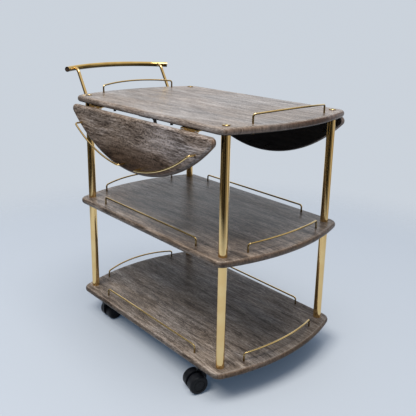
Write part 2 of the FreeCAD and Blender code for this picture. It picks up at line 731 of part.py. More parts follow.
def leaf(side_name, side):
    outward = Vector(0, side, 0)
    inner_face = f"{side} * places.leaf_inner_y"
    drills = []
    for x, z in leaf_rail_feet():
        spot = (x, f"{side} * (places.leaf_inner_y - sizes.drill_overrun)", z)
        length = "sizes.leaf_thickness + 2 * sizes.drill_overrun"
        drills.append(pillar(spot, outward, "places.rail_radius + sizes.hole_clearance", length))
    for x, z in leaf_hinge_screw_spots() + stay_leaf_screw_spots():
        drills.append(pilot((x, inner_face, z), outward, "sizes.screw_diameter / 2", "sizes.screw_length"))
    keep(cut(leaf_board(side_name, side), drills), f"{side_name}_leaf")
    leaf_rails(side_name, side)
    nuts = [rail_nut((x, inner_face, z), Vector(0, -side, 0)) for x, z in leaf_rail_feet()]
    keep(group(nuts), f"{side_name}_leaf_rail_nuts")


for side_name, side in SIDES.items():
    leaf(side_name, side)


# Hinges: knuckles shared out between the fixed plate and the leaf's plate
def knuckle_centre(end, step):
    return f"{end} * places.hinge_x + {step} * places.knuckle_pitch"


def knuckle_start(end, step):
    return f"{knuckle_centre(end, step)} - places.knuckle_length / 2"


def hinge_bore(end, pin_y):
    start = f"{end} * places.hinge_x - sizes.hinge_length"
    radius = "sizes.hinge_pin_diameter / 2 + sizes.running_clearance"
    return pillar((start, pin_y, "places.hinge_pin_z"), ALONG, radius, "2 * sizes.hinge_length")


def fixed_plate(end, side):
    pin_y = f"{side} * places.hinge_pin_y"
    plate_z = "places.top_underside - sizes.hinge_plate_thickness / 2"
    plate_depth = "(sizes.hinge_plate_width - places.hinge_offset)"
    plate_y = f"{side} * (places.hinge_pin_y - places.hinge_offset - {plate_depth} / 2)"
    spans = ("sizes.hinge_length", plate_depth, "sizes.hinge_plate_thickness")
    pieces = [block((f"{end} * places.hinge_x", plate_y, plate_z), spans)]
    tab_y = f"{side} * (places.hinge_pin_y - places.hinge_offset / 2)"
    for step in KNUCKLES[0::2]:
        spans = ("places.knuckle_length", "places.hinge_offset", "sizes.hinge_plate_thickness")
        pieces.append(block((knuckle_centre(end, step), tab_y, plate_z), spans))
        start = (knuckle_start(end, step), pin_y, "places.hinge_pin_z")
        pieces.append(pillar(start, ALONG, "sizes.knuckle_radius", "places.knuckle_length"))
    face = "places.top_underside - sizes.hinge_plate_thickness"
    holes = [screw_hole((x, top_hinge_screw_y(side), face), UP) for x in hinge_screw_x(end)]
    return cut(fuse(pieces), [hinge_bore(end, pin_y)] + holes)


def leaf_plate(end, side):
    pin_y = f"{side} * places.hinge_pin_y"
    plate_y = f"{side} * (places.leaf_inner_y - sizes.hinge_plate_thickness / 2)"
    plate_depth = "(sizes.hinge_plate_width - places.hinge_offset)"
    plate_z = f"places.hinge_pin_z - places.hinge_offset - {plate_depth} / 2"
    spans = ("sizes.hinge_length", "sizes.hinge_plate_thickness", plate_depth)
    pieces = [block((f"{end} * places.hinge_x", plate_y, plate_z), spans)]
    tab_z = "places.hinge_pin_z - places.hinge_offset / 2"
    for step in KNUCKLES[1::2]:
        spans = ("places.knuckle_length", "sizes.hinge_plate_thickness", "places.hinge_offset")
        pieces.append(block((knuckle_centre(end, step), plate_y, tab_z), spans))
        start = (knuckle_start(end, step), pin_y, "places.hinge_pin_z")
        pieces.append(pillar(start, ALONG, "sizes.knuckle_radius", "places.knuckle_length"))
    face = f"{side} * (places.leaf_inner_y - sizes.hinge_plate_thickness)"
    screw_z = "places.hinge_pin_z - sizes.hinge_screw_setback"
    holes = [screw_hole((x, face, screw_z), Vector(0, side, 0)) for x in hinge_screw_x(end)]
    return cut(fuse(pieces), [hinge_bore(end, pin_y)] + holes)


def hinge_pin(end, side):
    start_x = f"{end} * places.hinge_x - sizes.hinge_length / 2"
    start = (start_x, f"{side} * places.hinge_pin_y", "places.hinge_pin_z")
    return pillar(start, ALONG, "sizes.hinge_pin_diameter / 2", "sizes.hinge_length")


keep(group([fixed_plate(end, side) for end, side in PAIRS]), "hinge_top_plates")
keep(group([hinge_pin(end, side) for end, side in PAIRS]), "hinge_pins")
for side_name, side in SIDES.items():
    keep(group([leaf_plate(end, side) for end in ENDS.values()]), f"{side_name}_hinge_leaf_plates")


# Folding stay: top bracket, upper arm, lower arm and leaf bracket, a parallelogram about the hinge pin.
# The upper arm and the leaf bracket's lug lie one layer beside the lower arm and the top bracket's lug.
def stay_pin(layer, way, side, y, z):
    start = (f"{-side} * {layer}", y, z)
    direction = ALONG * (-side * way)
    shaft = pillar(start, direction, "places.stay_pin_radius", "places.stay_pin_length")
    head_spot = (f"{-side} * ({layer} + {way} * places.stay_pin_length)", y, z)
    head = pillar(head_spot, direction, "sizes.stay_head_diameter / 2", "sizes.stay_head_thickness")
    return [shaft, head]


def stay_eye(layer, side, y, z):
    start = (f"{-side} * {layer} - sizes.stay_bar_thickness / 2", y, z)
    return pillar(start, ALONG, "places.stay_eye_radius", "sizes.stay_bar_thickness")


def stay_top_bracket(side):
    y = f"{side} * places.stay_top_y"
    z = "places.stay_top_z"
    base_z = "places.top_underside - sizes.stay_base_thickness / 2"
    base_spans = ("sizes.stay_base_width", "sizes.stay_base_length", "sizes.stay_base_thickness")
    base = block(("0", y, base_z), base_spans)
    lug_z = "places.top_underside - sizes.stay_pivot_depth / 2"
    lug_spans = ("sizes.stay_bar_thickness", "sizes.stay_bar_width", "sizes.stay_pivot_depth")
    lug = block(("0", y, lug_z), lug_spans)
    solid = fuse([base, lug, stay_eye("0", side, y, z)] + stay_pin("0", 1, side, y, z))
    face = "places.top_underside - sizes.stay_base_thickness"
    return cut(solid, [screw_hole((x, screw_y, face), UP) for x, screw_y in stay_screw_spots(side)])


def stay_leaf_bracket(side):
    layer = "places.stay_layer"
    z = "places.stay_leaf_z"
    base_y = f"{side} * (places.leaf_inner_y - sizes.stay_base_thickness / 2)"
    base_spans = ("sizes.stay_base_width", "sizes.stay_base_thickness", "sizes.stay_base_length")
    base = block(("0", base_y, z), base_spans)
    lug_y = f"{side} * (places.leaf_inner_y - sizes.stay_pivot_depth / 2)"
    lug_spans = ("sizes.stay_bar_thickness", "sizes.stay_pivot_depth", "sizes.stay_bar_width")
    lug = block((f"{-side} * {layer}", lug_y, z), lug_spans)
    y = f"{side} * places.stay_leaf_y"
    solid = fuse([base, lug, stay_eye(layer, side, y, z)] + stay_pin(layer, -1, side, y, z))
    face = f"{side} * (places.leaf_inner_y - sizes.stay_base_thickness)"
    holes = [screw_hole((x, face, screw_z), Vector(0, side, 0)) for x, screw_z in stay_leaf_screw_spots()]
    return cut(solid, holes)


def stay_upper_arm(label, side):
    body = doc.addObject("PartDesign::Body", label)
    bar = sketch_on(body, "YZ_Plane")
    far = Vector(places.stay_drop, -sheet.stay_reach, 0)
    draw_slot(bar, "places.stay_eye_radius", "places.stay_drop", "-sizes.stay_reach", far)
    draw_circle(bar, "pivot", "places.stay_pin_radius + sizes.running_clearance")
    extrude(body, "Pad", bar, "sizes.stay_bar_thickness", both_ways=True)
    pin = sketch_on(body, "YZ_Plane")
    draw_circle(pin, "pin", "places.stay_pin_radius", "places.stay_drop", "-sizes.stay_reach")
    extrude(body, "Pad", pin, "places.stay_pin_length", backwards=True)
    head = sketch_on(body, "YZ_Plane", "-places.stay_pin_length")
    draw_circle(head, "head", "sizes.stay_head_diameter / 2", "places.stay_drop", "-sizes.stay_reach")
    extrude(body, "Pad", head, "sizes.stay_head_thickness", backwards=True)
    spot = (f"{-side} * places.stay_layer", f"{side} * places.stay_top_y", "places.stay_top_z")
    set_down(body, spot, HALF_TURN[side])
    keep(body, label)


def stay_lower_arm(label, side):
    body = doc.addObject("PartDesign::Body", label)
    bar = sketch_on(body, "YZ_Plane")
    far = Vector(-sheet.stay_reach, places.stay_drop, 0)
    draw_slot(bar, "places.stay_eye_radius", "-sizes.stay_reach", "places.stay_drop", far)
    draw_circle(bar, "elbow", "places.stay_pin_radius + sizes.running_clearance")
    loose = "places.stay_pin_radius + sizes.open_pivot_clearance"
    draw_circle(bar, "leaf_end", loose, "-sizes.stay_reach", "places.stay_drop")
    extrude(body, "Pad", bar, "sizes.stay_bar_thickness", both_ways=True)
    spot = ("0", f"{side} * places.stay_elbow_y", "places.stay_elbow_z")
    set_down(body, spot, HALF_TURN[side])
    keep(body, label)


keep(group([stay_top_bracket(side) for side in SIDES.values()]), "stay_top_brackets")
for side_name, side in SIDES.items():
    stay_upper_arm(f"{side_name}_stay_upper_arm", side)
    stay_lower_arm(f"{side_name}_stay_lower_arm", side)
    keep(stay_leaf_bracket(side), f"{side_name}_stay_leaf_bracket")

# Rubber bumpers under the long edges of the top board
bumpers = []
for end, side in PAIRS:
    spot = (f"{end} * sizes.bumper_spacing / 2", f"{side} * places.bumper_y", "places.top_underside")
    bumpers.append(pillar(spot, DOWN, "sizes.bumper_diameter / 2", "sizes.bumper_height"))
keep(group(bumpers), "leaf_bumpers")


# Handle: a bowed tube on two bent arms that are screwed to the underside of the top board
def handle_bar_path():
    half_span = sheet.handle_span / 2
    ends = [Vector(-places.handle_x, side * half_span, places.handle_z) for side in (-1, 1)]
    crown = Vector(-places.handle_x - sheet.handle_bow, 0, places.handle_z + sheet.handle_rise)
    return Part.Arc(ends[0], crown, ends[1])


def handle_bar_solid(radius):
    arc = handle_bar_path()
    start = arc.value(arc.FirstParameter)
    direction = arc.tangent(arc.FirstParameter)[0]
    return sweep([arc.toShape()], start, direction, radius)


def handle_bar_centre(y):
    half_span = sheet.handle_span / 2
    sag = math.hypot(sheet.handle_bow, sheet.handle_rise)
    radius = (half_span**2 + sag**2) / (2 * sag)
    share = (math.sqrt(radius**2 - y**2) - radius + sag) / sag
    x = -places.handle_x - sheet.handle_bow * share
    return Vector(x, y, places.handle_z + sheet.handle_rise * share)


def handle_arm(side):
    y = side * places.handle_arm_y
    z = places.handle_arm_z
    meeting = handle_bar_centre(y)
    inner_end = Vector(-places.handle_arm_end, y, z)
    low_corner = Vector(-sheet.board_length / 2 - sheet.handle_arm_overhang, y, z)
    high_corner = meeting.add(Vector(sheet.handle_arm_run, 0, 0))
    outwards = Vector(-1, 0, 0)
    slope = high_corner.sub(low_corner).normalize()
    low_start, low_end, low_bend = bend(low_corner, outwards, slope, sheet.handle_arm_bend)
    high_start, high_end, high_bend = bend(high_corner, slope, outwards, sheet.handle_arm_bend)
    path = [
        Part.LineSegment(inner_end, low_start).toShape(),
        low_bend,
        Part.LineSegment(low_end, high_start).toShape(),
        high_bend,
        Part.LineSegment(high_end, meeting).toShape(),
    ]
    rod = sweep(path, inner_end, outwards, sheet.handle_arm_rod / 2)
    coped = rod.cut(handle_bar_solid(sheet.handle_tube / 2))
    hole_radius = sheet.handle_screw_diameter / 2 + sheet.hole_clearance
    for step in (0, 1):
        inset = sheet.handle_screw_inset + step * sheet.handle_screw_spacing
        foot = Vector(-places.handle_arm_end - inset, y, z - sheet.handle_arm_rod)
        coped = coped.cut(Part.makeCylinder(hole_radius, 2 * sheet.handle_arm_rod, foot, UP))
    return coped


def handle_plugs():
    arc = handle_bar_path()
    radius = sheet.handle_tube / 2 - sheet.handle_wall - sheet.hole_clearance
    plugs = []
    for parameter, way in ((arc.FirstParameter, 1), (arc.LastParameter, -1)):
        inward = arc.tangent(parameter)[0] * way
        foot = arc.value(parameter).add(inward * sheet.handle_plug_recess)
        plugs.append(Part.makeCylinder(radius, sheet.handle_plug_length, foot, inward))
    return Part.makeCompound(plugs)


bar_bore = handle_bar_solid(sheet.handle_tube / 2 - sheet.handle_wall)
keep_shape("handle_bar", handle_bar_solid(sheet.handle_tube / 2).cut(bar_bore))
keep_shape("handle_end_plugs", handle_plugs())
for side_name, side in SIDES.items():
    keep_shape(f"handle_arm_{side_name}", handle_arm(side))


# Screws: one group under the top board, one group in each leaf
def handle_screw(x, y):
    seat = "places.handle_arm_z - sizes.handle_arm_rod / 2"
    head = pillar((x, y, seat), DOWN, "sizes.handle_screw_head / 2", "sizes.handle_screw_head_thickness")
    length = f"places.top_underside + sizes.screw_length - ({seat})"
    return fuse([head, pillar((x, y, seat), UP, "sizes.handle_screw_diameter / 2", length)])


top_screws = []
for side in SIDES.values():
    plate_face = "places.top_underside - sizes.hinge_plate_thickness"
    for x in hinge_screws_along():
        top_screws.append(wood_screw((x, top_hinge_screw_y(side), plate_face), UP))
    base_face = "places.top_underside - sizes.stay_base_thickness"
    for x, y in stay_screw_spots(side):
        top_screws.append(wood_screw((x, y, base_face), UP))
    for x, y in handle_screw_spots(side):
        top_screws.append(handle_screw(x, y))
keep(group(top_screws), "top_underside_screws")

for side_name, side in SIDES.items():
    outward = Vector(0, side, 0)
    plate_face = f"{side} * (places.leaf_inner_y - sizes.hinge_plate_thickness)"
    base_face = f"{side} * (places.leaf_inner_y - sizes.stay_base_thickness)"
    leaf_screws = [wood_screw((x, plate_face, z), outward) for x, z in leaf_hinge_screw_spots()]
    leaf_screws += [wood_screw((x, base_face, z), outward) for x, z in stay_leaf_screw_spots()]
    keep(group(leaf_screws), f"{side_name}_leaf_screws")


# Casters: a fixed stem, a swivelling body and a pair of wheels on one axle
def caster_stem(x, y):
    radius = "sizes.caster_stem_diameter / 2"
    flange_top = (x, y, "places.bottom_underside")
    flange = pillar(flange_top, DOWN, "sizes.caster_flange_diameter / 2", "sizes.caster_flange_thickness")
    tang = pillar(flange_top, UP, radius, "sizes.caster_stem_seat")
    pivot = pillar((x, y, "places.caster_flange_z"), DOWN, radius, "sizes.caster_stem_reach")
    return fuse([flange, tang, pivot])


def caster_body(label, x, y, heading):
    body = doc.addObject("PartDesign::Body", label)
    web = sketch_on(body, "YZ_Plane")
    draw_circle(web, "web", "sizes.caster_web_diameter / 2", "-sizes.caster_trail", "places.wheel_radius")
    extrude(body, "Pad", web, "places.caster_web_width", both_ways=True)
    neck = sketch_on(body, "YZ_Plane")
    front = "sizes.caster_boss_diameter / 2"
    back = "-(sizes.caster_neck_length - sizes.caster_boss_diameter / 2)"
    draw_rectangle(neck, back, front, "sizes.caster_neck_foot", "places.caster_boss_top")
    extrude(body, "Pad", neck, "places.caster_web_width", both_ways=True)
    toe = Vector(0, sheet.caster_boss_diameter / 2, sheet.caster_neck_foot)
    round_edges(body, "sizes.caster_neck_round", lambda edge: edge.CenterOfMass.isEqual(toe, NEAR))
    boss = sketch_on(body, "XY_Plane", "places.caster_boss_foot")
    draw_circle(boss, "boss", "sizes.caster_boss_diameter / 2")
    extrude(body, "Pad", boss, "places.caster_boss_top - places.caster_boss_foot")
    stem_hole = sketch_on(body, "XY_Plane", "places.caster_boss_top")
    draw_circle(stem_hole, "stem", "sizes.caster_stem_diameter / 2 + sizes.running_clearance")
    depth = "places.caster_boss_top - places.caster_stem_foot + sizes.moving_clearance"
    extrude(body, "Pocket", stem_hole, depth)
    axle_hole = sketch_on(body, "YZ_Plane")
    axle_radius = "sizes.axle_diameter / 2 + sizes.running_clearance"
    draw_circle(axle_hole, "axle", axle_radius, "-sizes.caster_trail", "places.wheel_radius")
    extrude(body, "Pocket", axle_hole, "2 * sizes.wheel_gap", both_ways=True)
    set_down(body, (x, y, "0"), heading)
    keep(body, label)


def is_tread_edge(edge, x):
    if not isinstance(edge.Curve, Part.Circle):
        return False
    on_rim = abs(edge.Curve.Radius - places.wheel_radius) < NEAR
    return on_rim and abs(edge.Curve.Center.x - x) < NEAR


def wheel(spot, turn):
    body = doc.addObject("PartDesign::Body", "wheel")
    profile = sketch_on(body, "XY_Plane")
    inner = "sizes.wheel_gap / 2"
    outer = "sizes.wheel_gap / 2 + sizes.wheel_width"
    bore = "sizes.axle_diameter / 2 + sizes.running_clearance"
    draw_rectangle(profile, inner, outer, bore, "places.wheel_radius")
    spin = body.newObject("PartDesign::Revolution", "revolution")
    spin.Profile = profile
    spin.ReferenceAxis = (profile, ["H_Axis"])
    inner_x = sheet.wheel_gap / 2
    outer_x = inner_x + sheet.wheel_width

    round_edges(body, "sizes.wheel_outer_round", lambda edge: is_tread_edge(edge, outer_x))
    round_edges(body, "sizes.wheel_inner_round", lambda edge: is_tread_edge(edge, inner_x))
    dish = sketch_on(body, "YZ_Plane", outer)
    draw_circle(dish, "dish", "sizes.wheel_dish_radius")
    extrude(body, "Pocket", dish, "sizes.wheel_dish_depth")
    set_down(body, spot, turn)
    return body


def axle(spot, turn):
    body = doc.addObject("PartDesign::Body", "axle")
    section = sketch_on(body, "YZ_Plane")
    draw_circle(section, "axle", "sizes.axle_diameter / 2")
    length = "sizes.wheel_gap + 2 * (sizes.wheel_width - sizes.wheel_dish_depth)"
    extrude(body, "Pad", section, length, both_ways=True)
    set_down(body, spot, turn)
    return body


keep(group([caster_stem(x, y) for x, y in four_spots("caster")]), "caster_stems")
for corner, (x, y) in zip(CORNERS, four_spots("caster")):
    heading = f"sizes.{corner}_heading"
    caster_body(f"caster_body_{corner}", x, y, heading)
    wheel_x = f"{x} + sizes.caster_trail * sin({heading})"
    wheel_y = f"{y} - sizes.caster_trail * cos({heading})"
    spot = (wheel_x, wheel_y, "places.wheel_radius")
    pieces = [wheel(spot, heading), wheel(spot, f"{heading} + 180"), axle(spot, heading)]
    keep(group(pieces), f"caster_wheels_{corner}")

# Every object has to be computed and every piece sound before anything is written
doc.recompute()
for item in doc.Objects:
    if "Invalid" in item.State or "Error" in item.State:
        raise RuntimeError(f"{item.Label} did not compute: {item.State}")
for piece in nodes:
    if piece.Shape.isNull() or not piece.Shape.isValid() or not piece.Shape.Solids:
        raise RuntimeError(f"{piece.Label} has no sound solid")

os.makedirs("parts", exist_ok=True)
for piece in nodes:
    piece.Shape.exportStep(f"parts/{piece.Label}.step")
print(f"{len(nodes)} nodes written")
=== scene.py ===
import json
import math

import bmesh
import bpy
import numpy as np
from mathutils import Matrix, Vector


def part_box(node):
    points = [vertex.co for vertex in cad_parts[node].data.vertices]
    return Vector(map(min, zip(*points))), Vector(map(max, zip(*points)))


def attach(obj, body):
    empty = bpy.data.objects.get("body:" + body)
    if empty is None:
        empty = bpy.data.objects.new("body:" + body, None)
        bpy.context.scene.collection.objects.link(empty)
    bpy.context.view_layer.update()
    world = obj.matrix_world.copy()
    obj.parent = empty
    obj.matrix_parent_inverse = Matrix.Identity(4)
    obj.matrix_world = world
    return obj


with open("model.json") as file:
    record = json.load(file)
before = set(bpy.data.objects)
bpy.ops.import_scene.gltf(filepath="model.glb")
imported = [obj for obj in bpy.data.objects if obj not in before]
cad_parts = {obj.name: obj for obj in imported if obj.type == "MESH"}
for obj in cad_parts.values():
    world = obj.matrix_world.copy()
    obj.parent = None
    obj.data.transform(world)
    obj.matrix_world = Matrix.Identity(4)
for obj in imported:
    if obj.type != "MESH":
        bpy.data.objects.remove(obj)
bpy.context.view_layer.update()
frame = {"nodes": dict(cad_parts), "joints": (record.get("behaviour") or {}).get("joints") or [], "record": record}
nodes = frame["nodes"]
scene = bpy.context.scene
print("frame loaded:", len(nodes), "nodes")

# camera solved from the boards, posts and rails: metres, degrees, and millimetres for the lens and sensor
cameraLook = {
    "place": (1.1974, -1.0463, 0.9313),
    "azimuth": 46.9,
    "elevation": 15.41,
    "roll": 1.42,
    "lens": 49.35,
    "sensor": 36,
    "shiftX": -0.0339,
    "shiftY": -0.0823,
    "clipEnd": 60,
}


def placeCamera(look):
    azimuth, elevation, roll = (math.radians(look[key]) for key in ("azimuth", "elevation", "roll"))
    flat = math.cos(elevation)
    back = Vector((math.sin(azimuth) * flat, -math.cos(azimuth) * flat, math.sin(elevation)))
    level = Vector((math.cos(azimuth), math.sin(azimuth), 0))
    upright = back.cross(level)
    right = level * math.cos(roll) + upright * math.sin(roll)
    up = upright * math.cos(roll) - level * math.sin(roll)
    data = bpy.data.cameras.new("photoCamera")
    data.sensor_width = look["sensor"]
    data.lens = look["lens"]
    data.shift_x = look["shiftX"]
    data.shift_y = look["shiftY"]
    data.clip_end = look["clipEnd"]
    camera = bpy.data.objects.new("photoCamera", data)
    turn = Matrix((right, up, back)).transposed().to_4x4()
    camera.matrix_world = Matrix.Translation(look["place"]) @ turn
    scene.collection.objects.link(camera)
    scene.camera = camera


placeCamera(cameraLook)
print("camera placed")


# small helpers for shader trees
def addNode(tree, kind, settings=None, **values):
    node = tree.nodes.new(kind)
    for key, value in (settings or {}).items():
        setattr(node, key, value)
    for key, value in values.items():
        node.inputs[key].default_value = value
    return node


# a socket takes a link, a number, a vector or a colour
def feed(tree, socket, value):
    if hasattr(value, "is_output"):
        tree.links.new(value, socket)
    elif socket.type == "RGBA" and len(value) == 3:
        socket.default_value = (*value, 1.0)
    else:
        socket.default_value = value


def coordinate(tree, kind):
    return addNode(tree, "ShaderNodeTexCoord").outputs[kind]


# the X, Y and Z outputs of a place or a normal
def axesOf(tree, kind):
    node = addNode(tree, "ShaderNodeSeparateXYZ")
    tree.links.new(coordinate(tree, kind), node.inputs[0])
    return node.outputs


def vectorMath(tree, operation, first, second=None):
    node = addNode(tree, "ShaderNodeVectorMath", {"operation": operation})
    tree.links.new(first, node.inputs[0])
    if second is not None:
        feed(tree, node.inputs[1], second)
    return node.outputs["Value" if operation in ("LENGTH", "DOT_PRODUCT") else "Vector"]


def valueMath(tree, operation, first, second=0.0):
    node = addNode(tree, "ShaderNodeMath", {"operation": operation})
    feed(tree, node.inputs[0], first)
    feed(tree, node.inputs[1], second)
    return node.outputs[0]


def times(tree, first, second):
    return valueMath(tree, "MULTIPLY", first, second)


def plus(tree, first, second):
    return valueMath(tree, "ADD", first, second)


def minus(tree, first, second):
    return valueMath(tree, "SUBTRACT", first, second)


def noise(tree, vector, look, roughness=0.55):
    node = addNode(tree, "ShaderNodeTexNoise", Scale=1.0, Detail=look["detail"])
    node.inputs["Roughness"].default_value = look.get("roughness", roughness)
    tree.links.new(vectorMath(tree, "MULTIPLY", vector, look["scale"]), node.inputs["Vector"])
    return node.outputs[0]


# smooth step from one value at low to another at high
def ramp(tree, value, low, high, toLow=0.0, toHigh=1.0):
    node = addNode(tree, "ShaderNodeMapRange", {"interpolation_type": "SMOOTHSTEP"})
    keys = ("Value", "From Min", "From Max", "To Min", "To Max")
    for key, given in zip(keys, (value, low, high, toLow, toHigh)):
        feed(tree, node.inputs[key], given)
    return node.outputs[0]


# a noise that shows only inside its span
def layer(tree, vector, look):
    return ramp(tree, noise(tree, vector, look), *look["span"], *look.get("tone", (0.0, 1.0)))


def mixColour(tree, factor, first, second, blend="MIX"):
    node = addNode(tree, "ShaderNodeMix", {"data_type": "RGBA", "blend_type": blend})
    for index, value in ((0, factor), (6, first), (7, second)):  # Mix node's factor and colours
        feed(tree, node.inputs[index], value)
    return node.outputs[2]


def mixValue(tree, factor, first, second):
    return plus(tree, times(tree, first, minus(tree, 1.0, factor)), times(tree, second, factor))


def brighten(tree, colour, value, saturation=1.0):
    node = addNode(tree, "ShaderNodeHueSaturation", Saturation=saturation)
    feed(tree, node.inputs["Color"], colour)
    feed(tree, node.inputs["Value"], value)
    return node.outputs[0]


def newGroup(name, inputs):
    group = bpy.data.node_groups.new(name, "ShaderNodeTree")
    for label, value in inputs.items():
        kind = "NodeSocketColor" if isinstance(value, tuple) else "NodeSocketFloat"
        group.interface.new_socket(label, in_out="INPUT", socket_type=kind).default_value = value
    outputs = {"Color": "NodeSocketColor", "Rough": "NodeSocketFloat", "Height": "NodeSocketFloat"}
    for label, kind in outputs.items():
        group.interface.new_socket(label, in_out="OUTPUT", socket_type=kind)
    source, result = group.nodes.new("NodeGroupInput"), group.nodes.new("NodeGroupOutput")
    return group, source.outputs, result.inputs


def newMaterial(name, **values):
    material = bpy.data.materials.new(name)
    material.use_nodes = True
    tree = material.node_tree
    shader = tree.nodes["Principled BSDF"]
    for key, value in values.items():
        shader.inputs[key].default_value = value
    return material, tree, shader


def placeGroup(tree, group, values):
    node = tree.nodes.new("ShaderNodeGroup")
    node.node_tree = group
    for key, value in values.items():
        node.inputs[key].default_value = value
    return node.outputs


def addBump(tree, shader, height, strength, distance):
    bump = addNode(tree, "ShaderNodeBump", Strength=strength, Distance=distance)
    tree.links.new(height, bump.inputs["Height"])
    tree.links.new(bump.outputs[0], shader.inputs["Normal"])


# wood: a printed oak grain that runs along X on every board, and up and down on the edge band of the ends
# scale counts noise cells in a metre, span is where a noise or a slope begins and is full
grainPattern = {
    "wander": {"scale": (4.0, 9.0, 9.0), "detail": 2.0, "reach": (0.0, 0.030, 0.030)},
    "broad": {"scale": (4.5, 30, 30), "detail": 3.0, "share": 0.27},
    "streak": {"scale": (10, 170, 170), "detail": 5.0, "roughness": 0.72, "share": 0.36},
    "fine": {"scale": (60, 460, 460), "detail": 3.0, "roughness": 0.65, "share": 0.37},
    "middle": 0.5,  # of a noise: lines wander and Contrast spreads about it
    "band": {
        "scale": (60, 230, 30), "detail": 4.0, "roughness": 0.6, "span": (0.2, 0.8), "tone": (0.415, 0.565),
    },
    "endSpan": (0.50, 0.75),  # how squarely a face looks along X
    "midSpan": (0.405, 0.50),
    "lightSpan": (0.49, 0.60),
    "arches": {"scale": (1.6, 9.0, 9.0), "detail": 1.0, "lines": 70.0, "span": (0.25, 1.0), "strength": 0.35},
    "archPatches": (0.42, 0.60),
    "wash": {"scale": (2.4, 8.0, 8.0), "detail": 3.0, "span": (0.42, 0.62), "saturation": 0.45, "value": 1.22},
    "slow": {"scale": (1.8, 6.0, 6.0), "detail": 2.0, "span": (0.34, 0.66), "tone": (0.82, 1.14)},
    "heart": {"scale": (4.5, 46, 46), "detail": 2.0, "span": (0.57, 0.72), "strength": 0.60},
    "pores": {"scale": (45, 520, 520), "detail": 1.0, "span": (0.58, 0.68), "strength": 0.65, "depth": 0.5},
    "flecks": {"scale": (300, 85, 85), "detail": 1.0, "span": (0.50, 0.64)},
    "fleckPatches": {"scale": (6, 14, 14), "detail": 1.0, "span": (0.46, 0.60)},
    "rimSpan": (0.45, 0.80),  # how squarely a face looks up or down, here and for the lip
    "lipStart": (0.74, 0.86),
    "lipEnd": (0.93, 0.985),
    "endTint": (1.06, 0.93, 0.83),
    "rearTint": (0.56, 0.42, 0.37),
    "rearSpan": (-0.13, 0.05),  # Y in metres
    "roughSpan": (0.3, 0.7),
    "roughTone": (0.40, 0.28),
}


